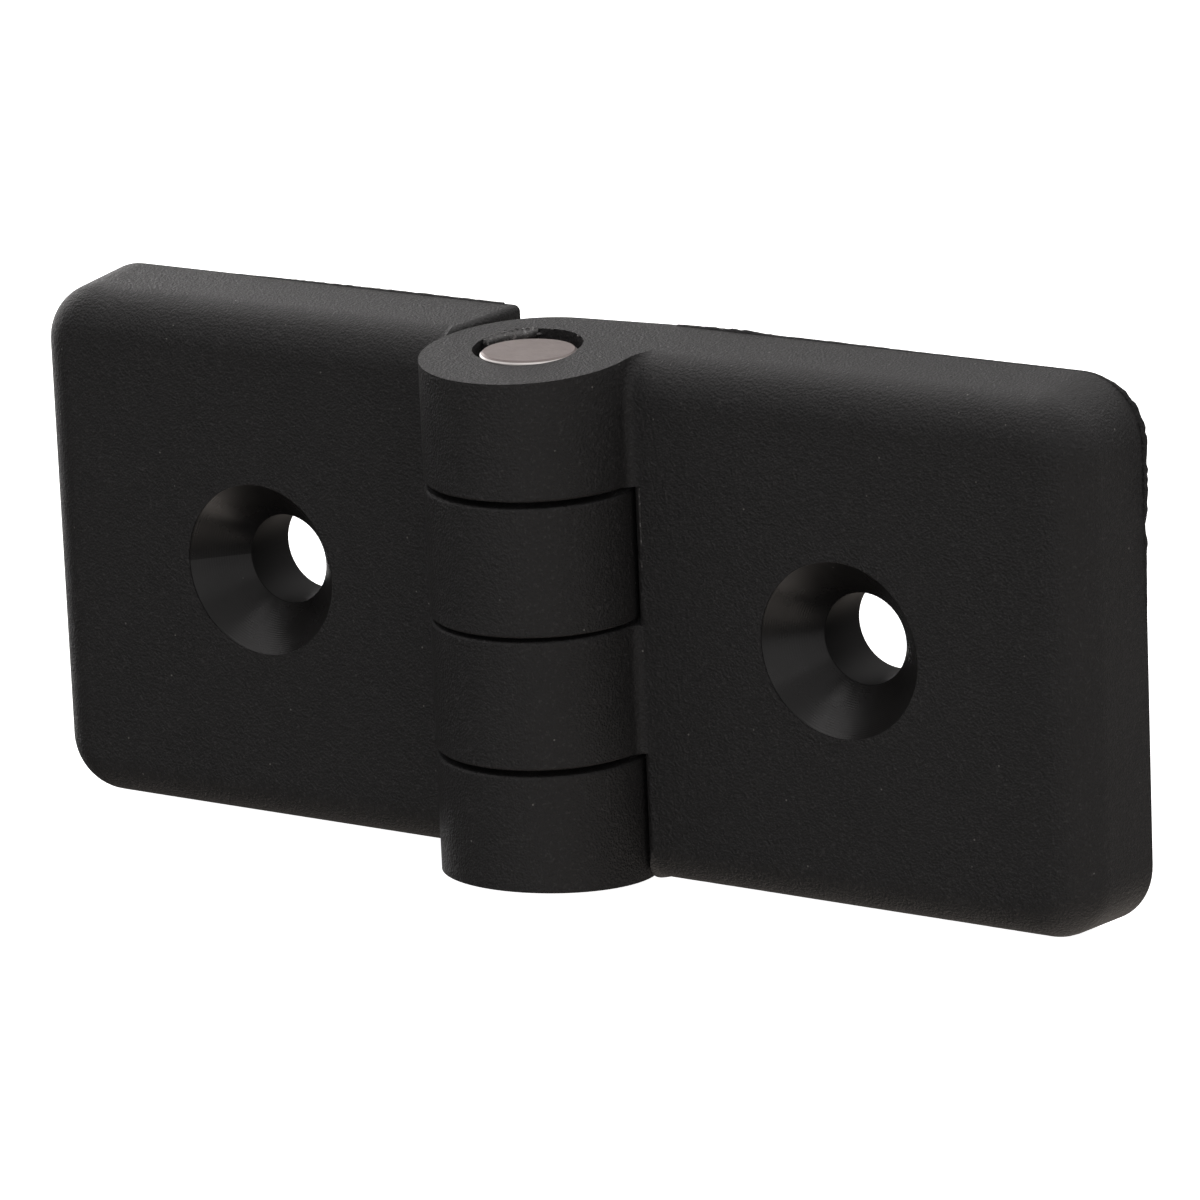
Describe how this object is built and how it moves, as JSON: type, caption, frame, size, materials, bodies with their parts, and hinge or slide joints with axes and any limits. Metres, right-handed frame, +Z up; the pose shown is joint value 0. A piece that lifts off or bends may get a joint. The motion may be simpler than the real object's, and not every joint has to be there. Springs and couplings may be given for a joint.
{
  "type": "door hinge",
  "caption": "Heavy moulded butt hinge opened flat: square rounded leaves with interlocking knuckles on a steel pin, each leaf countersunk for a screw.",
  "frame": {"origin": "on the pin axis, half way up the hinge", "axes": "+Z up the pin, +X out along the right leaf, +Y out of the back faces that are screwed down, so the knuckles stand out towards -Y"},
  "size_m": [0.114, 0.0209, 0.0506],
  "materials": {
    "leaf_plastic": "black, fine moulded grain",
    "pin_steel": "turned end"
  },
  "bodies": {
    "fixed_leaf": {"leaf_right": "leaf_plastic", "hinge_pin": "pin_steel"},
    "moving_leaf": {"leaf_left": "leaf_plastic"}
  },
  "joints": [
    {"name": "leaf_swing", "type": "hinge", "parent": "fixed_leaf", "child": "moving_leaf", "pos_m": [0, 0, 0], "axis": [0, 0, 1], "range_deg": [-70, 180]}
  ]
}
